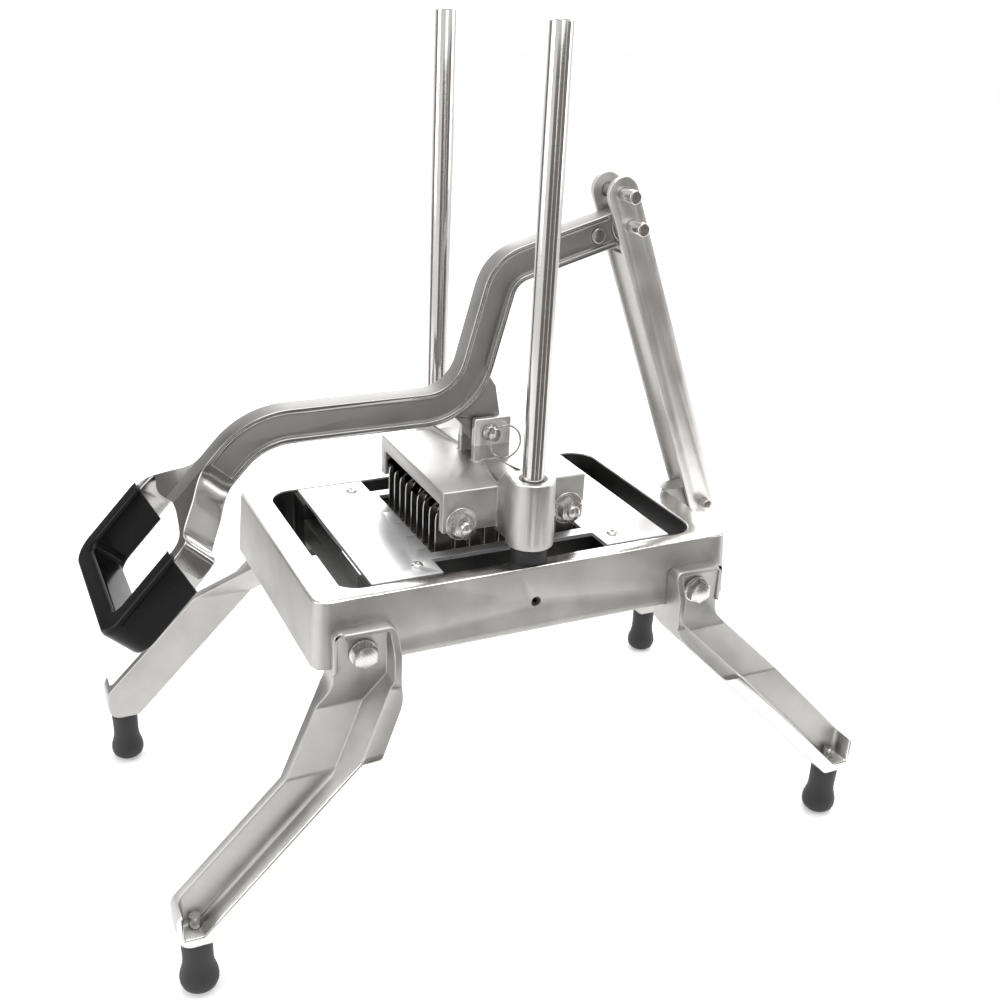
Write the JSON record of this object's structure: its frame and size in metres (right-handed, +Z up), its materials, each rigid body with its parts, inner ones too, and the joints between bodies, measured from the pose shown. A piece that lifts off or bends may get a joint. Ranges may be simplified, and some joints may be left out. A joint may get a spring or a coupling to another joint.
{
  "type": "manual vegetable dicer",
  "caption": "Hand-operated vegetable dicer: a cast lever on a rear link drives a finned pusher down guide rods onto a grid of blades in a legged cast frame.",
  "frame": {"origin": "on the floor under the middle of the dicer's bounding box, in the plane of symmetry", "axes": "+Z up along the guide rods, +X across the dicer and along the pivot pins, +Y from the handle towards the rear link"},
  "size_m": [0.2528, 0.462, 0.4935],
  "materials": {
    "cast": "polished casting with a faint grain",
    "plate": "bright sheet",
    "holder": "satin",
    "blade": "satin stainless sheet",
    "rod": "ground and polished stainless bar",
    "steel": "plain stainless hardware",
    "dark_steel": "dark hardware",
    "bush": "plain bearing plastic",
    "grip": "glossy dipped coat",
    "rubber": "matte"
  },
  "bodies": {
    "frame": {"base_frame": "cast", "blade_plate": "plate", "plate_screws": "steel", "blade_holder": "holder", "slicing_blades": "blade", "cross_blades": "blade", "guide_rod_left": "rod", "guide_rod_right": "rod", "rod_set_screws": "dark_steel", "rod_bumper_left": "rubber", "rod_bumper_right": "rubber", "leg_front_left": "cast", "leg_front_right": "cast", "leg_rear_left": "cast", "leg_rear_right": "cast", "leg_bolts": "steel", "leg_washers": "steel", "foot_front_left": "rubber", "foot_front_right": "rubber", "foot_rear_left": "rubber", "foot_rear_right": "rubber", "foot_screws": "steel"},
    "pusher": {"pusher_head": "cast", "rod_bush_left": "bush", "rod_bush_right": "bush", "pusher_fins": "blade", "fin_spacers": "steel", "tie_bolts": "steel", "tie_nuts": "steel", "tie_washers": "steel"},
    "pull_pin": {"clevis_pin": "steel"},
    "ring": {"pull_ring": "steel"},
    "lever": {"lever_arm": "cast", "lever_bush": "bush", "handle_grip": "grip"},
    "link": {"rear_link": "cast", "stop_pin": "steel", "lever_pivot_pin": "steel", "link_base_pin": "steel", "pin_clips": "dark_steel"}
  },
  "joints": [
    {"name": "pusher_slide", "type": "slide", "parent": "frame", "child": "pusher", "axis": [0, 0, 1], "range_m": [0, 0.1]},
    {"name": "lever_press_pivot", "type": "hinge", "parent": "pusher", "child": "lever", "pos_m": [0, 0.007, 0.264], "axis": [1, 0, 0], "range_deg": [-41.27, 0.2]},
    {"name": "link_top_pivot", "type": "hinge", "parent": "lever", "child": "link", "pos_m": [0, 0.0945, 0.381], "axis": [1, 0, 0], "range_deg": [-0.2, 25.11]},
    {"name": "pull_pin_slide", "type": "slide", "parent": "pusher", "child": "pull_pin", "axis": [1, 0, 0], "range_m": [0, 0.022]},
    {"name": "ring_swing", "type": "hinge", "parent": "pull_pin", "child": "ring", "pos_m": [0.0172, 0.007, 0.264], "axis": [0, -0.5878, -0.809], "range_deg": [0, 90]}
  ],
  "couplings": [
    {"joint": "lever_press_pivot", "follows": "pusher_slide", "rad_per_m": -7.1678},
    {"joint": "link_top_pivot", "follows": "pusher_slide", "rad_per_m": 4.3471}
  ]
}
